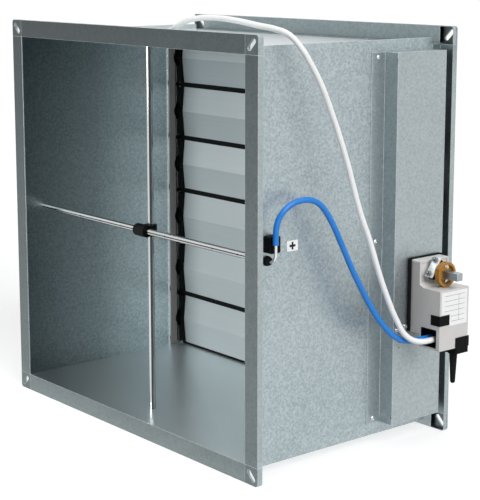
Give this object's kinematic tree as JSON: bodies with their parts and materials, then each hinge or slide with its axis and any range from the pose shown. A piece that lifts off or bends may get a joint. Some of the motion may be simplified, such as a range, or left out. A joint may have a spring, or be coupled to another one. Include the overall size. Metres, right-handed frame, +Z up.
{
  "type": "rectangular airflow volume regulator",
  "caption": "Rectangular galvanised duct volume regulator with crossed sensing tubes, opposed geared damper blades, a side gear cover and a controller with hoses.",
  "frame": {"origin": "on the duct's axis, in the plane of the inlet flange's face", "axes": "+Y along the airflow from inlet to outlet, +X towards the side with the controller, +Z up"},
  "size_m": [0.7335, 0.408, 0.6777],
  "materials": {
    "galvanised_casing": "spangled zinc coating, dull",
    "galvanised_flange": "zinc coating, dull",
    "galvanised_cover": "fine spangled zinc coating, dull",
    "zinc_plate": "bright zinc plating",
    "spindle_steel": "drawn steel",
    "blade_aluminium": "extruded, mill finish",
    "tube_aluminium": "extruded, bright",
    "seal_rubber": "matt black",
    "black_plastic": "moulded, matt",
    "grey_plastic": "moulded, fine grain",
    "orange_plastic": "moulded, satin",
    "label_white": "bare white film",
    "blue_hose": "smooth, satin",
    "white_hose": "smooth, satin"
  },
  "bodies": {
    "casing": {"left_wall": "galvanised_casing", "right_wall": "galvanised_casing", "top_wall": "galvanised_casing", "floor_wall": "galvanised_casing", "front_rails": "galvanised_flange", "front_corners": "galvanised_flange", "rear_rails": "galvanised_flange", "rear_corners": "galvanised_flange", "gear_cover": "galvanised_cover", "side_seal_channels": "galvanised_cover", "cover_rivets": "zinc_plate", "cover_screws": "zinc_plate", "side_elbow": "zinc_plate", "top_elbow": "zinc_plate", "level_tube": "tube_aluminium", "upright_tube": "tube_aluminium", "side_seals": "seal_rubber", "seam_pads": "seal_rubber", "controller_base": "seal_rubber", "tube_grommets": "seal_rubber", "blade_bushes": "black_plastic", "edge_clip": "black_plastic", "hose_inlet": "black_plastic", "cable_gland": "black_plastic", "cable_boot": "black_plastic", "tube_crosspiece": "black_plastic", "tube_holder": "black_plastic", "controller_housing": "grey_plastic", "label_plate": "label_white", "blue_hose": "blue_hose", "white_hose": "white_hose"},
    "damper_1": {"blade_1": "blade_aluminium", "edge_seals_1": "seal_rubber", "end_caps_1": "black_plastic", "gear_1": "black_plastic"},
    "damper_2": {"blade_2": "blade_aluminium", "edge_seals_2": "seal_rubber", "end_caps_2": "black_plastic", "gear_2": "black_plastic"},
    "damper_3": {"blade_3": "blade_aluminium", "edge_seals_3": "seal_rubber", "end_caps_3": "black_plastic", "gear_3": "black_plastic"},
    "damper_4": {"blade_4": "blade_aluminium", "edge_seals_4": "seal_rubber", "end_caps_4": "black_plastic", "gear_4": "black_plastic", "drive_spindle": "spindle_steel", "clamp_plate": "zinc_plate", "clamp_bolt_and_nuts": "zinc_plate", "indicator_ring": "orange_plastic"},
    "damper_5": {"blade_5": "blade_aluminium", "edge_seals_5": "seal_rubber", "end_caps_5": "black_plastic", "gear_5": "black_plastic"},
    "damper_6": {"blade_6": "blade_aluminium", "edge_seals_6": "seal_rubber", "end_caps_6": "black_plastic", "gear_6": "black_plastic"}
  },
  "joints": [
    {"name": "blade_1_turn", "type": "hinge", "parent": "casing", "child": "damper_1", "pos_m": [0, 0.342, 0.25], "axis": [1, 0, 0], "range_deg": [0, 90]},
    {"name": "blade_2_turn", "type": "hinge", "parent": "casing", "child": "damper_2", "pos_m": [0, 0.342, 0.15], "axis": [-1, 0, 0], "range_deg": [0, 90]},
    {"name": "blade_3_turn", "type": "hinge", "parent": "casing", "child": "damper_3", "pos_m": [0, 0.342, 0.05], "axis": [1, 0, 0], "range_deg": [0, 90]},
    {"name": "blade_4_turn", "type": "hinge", "parent": "casing", "child": "damper_4", "pos_m": [0, 0.342, -0.05], "axis": [-1, 0, 0], "range_deg": [0, 90]},
    {"name": "blade_5_turn", "type": "hinge", "parent": "casing", "child": "damper_5", "pos_m": [0, 0.342, -0.15], "axis": [1, 0, 0], "range_deg": [0, 90]},
    {"name": "blade_6_turn", "type": "hinge", "parent": "casing", "child": "damper_6", "pos_m": [0, 0.342, -0.25], "axis": [-1, 0, 0], "range_deg": [0, 90]}
  ],
  "couplings": [
    {"joint": "blade_1_turn", "follows": "blade_4_turn", "ratio": 1},
    {"joint": "blade_2_turn", "follows": "blade_4_turn", "ratio": 1},
    {"joint": "blade_3_turn", "follows": "blade_4_turn", "ratio": 1},
    {"joint": "blade_5_turn", "follows": "blade_4_turn", "ratio": 1},
    {"joint": "blade_6_turn", "follows": "blade_4_turn", "ratio": 1}
  ]
}
